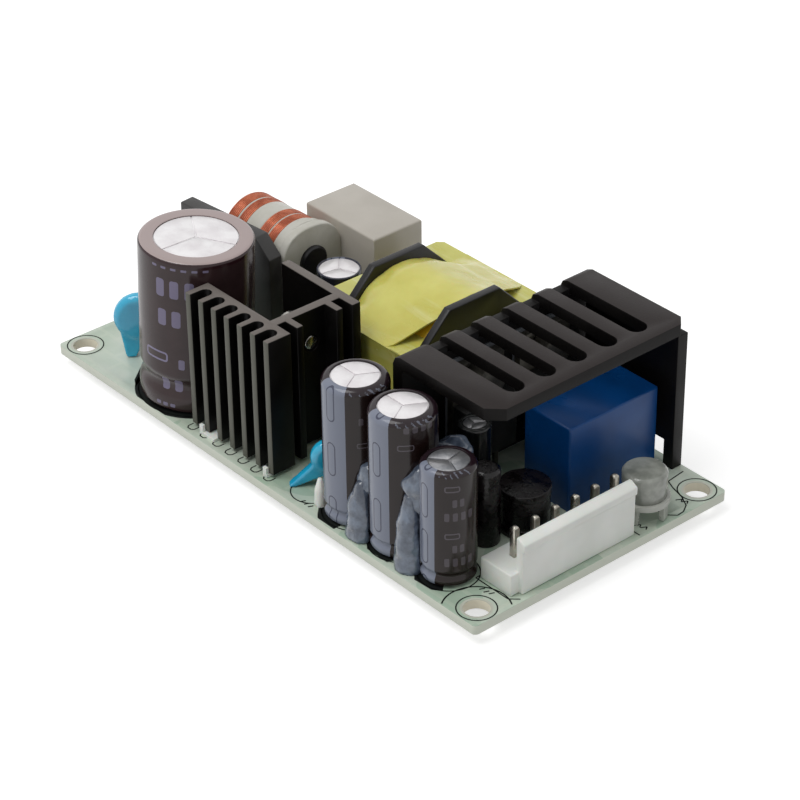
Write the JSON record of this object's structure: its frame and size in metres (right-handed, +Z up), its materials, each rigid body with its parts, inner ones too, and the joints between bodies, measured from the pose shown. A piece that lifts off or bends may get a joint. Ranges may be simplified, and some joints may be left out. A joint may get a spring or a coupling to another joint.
{
  "type": "open frame power supply",
  "caption": "Open frame AC to DC power supply on a 4 inch by 2 inch board, with a finned heatsink, a slotted plate heatsink, a taped transformer and a six pin output header.",
  "frame": {"origin": "centre of the board in X and Y, level with the tips of the trimmed leads under it; the top of the board is at z 3.6 mm", "axes": "+X along the board from the mains end to the output header, +Y across the board towards the transformer side, +Z up, away from the solder side"},
  "size_m": [0.1016, 0.0508, 0.0311],
  "materials": {
    "board": "satin",
    "solder": "satin",
    "sleeve": "gloss",
    "can": "satin",
    "black_anodised": "satin",
    "white_nylon": "satin",
    "black_plastic": "matte",
    "tinned": "satin",
    "grey_pad": "matte",
    "screw_steel": "satin",
    "yellow_tape": "gloss",
    "ferrite": "matte",
    "copper": "gloss",
    "film_box": "satin",
    "relay_blue": "satin",
    "disc_blue": "gloss",
    "fuse_cap": "gloss",
    "silicone": "gloss",
    "black_sleeve": "gloss"
  },
  "bodies": {
    "root": {"aux_capacitor_can": "can", "aux_capacitor_sleeve": "sleeve", "board": "board", "bridge_rectifier": "black_plastic", "bulk_capacitor_can": "can", "bulk_capacitor_sleeve": "sleeve", "choke_bobbin": "white_nylon", "choke_core": "ferrite", "choke_windings": "copper", "control_capacitor_can": "can", "control_capacitor_sleeve": "sleeve", "disc_capacitor_front": "disc_blue", "disc_capacitor_rear": "disc_blue", "drum_core": "ferrite", "drum_winding": "black_sleeve", "film_capacitor": "film_box", "heatsink_feet": "white_nylon", "input_header": "white_nylon", "input_pins": "tinned", "output_capacitor_a_can": "can", "output_capacitor_a_sleeve": "sleeve", "output_capacitor_b_can": "can", "output_capacitor_b_sleeve": "sleeve", "output_capacitor_c_can": "can", "output_capacitor_c_sleeve": "sleeve", "output_fuse_base": "black_plastic", "output_fuse_cap": "fuse_cap", "output_header": "white_nylon", "output_heatsink": "black_anodised", "output_pins": "tinned", "primary_heatsink": "black_anodised", "rectifier_bodies": "black_plastic", "rectifier_pads": "grey_pad", "rectifier_screws": "screw_steel", "rectifier_tabs": "tinned", "relay": "relay_blue", "rod_inductor": "black_sleeve", "silicone_beads": "silicone", "solder_joints": "solder", "transformer_bobbin": "black_plastic", "transformer_core": "ferrite", "transformer_tape": "yellow_tape", "transformer_winding": "yellow_tape", "transistor_body": "black_plastic", "transistor_pad": "grey_pad", "transistor_screw": "screw_steel", "transistor_tab": "tinned"}
  },
  "joints": []
}
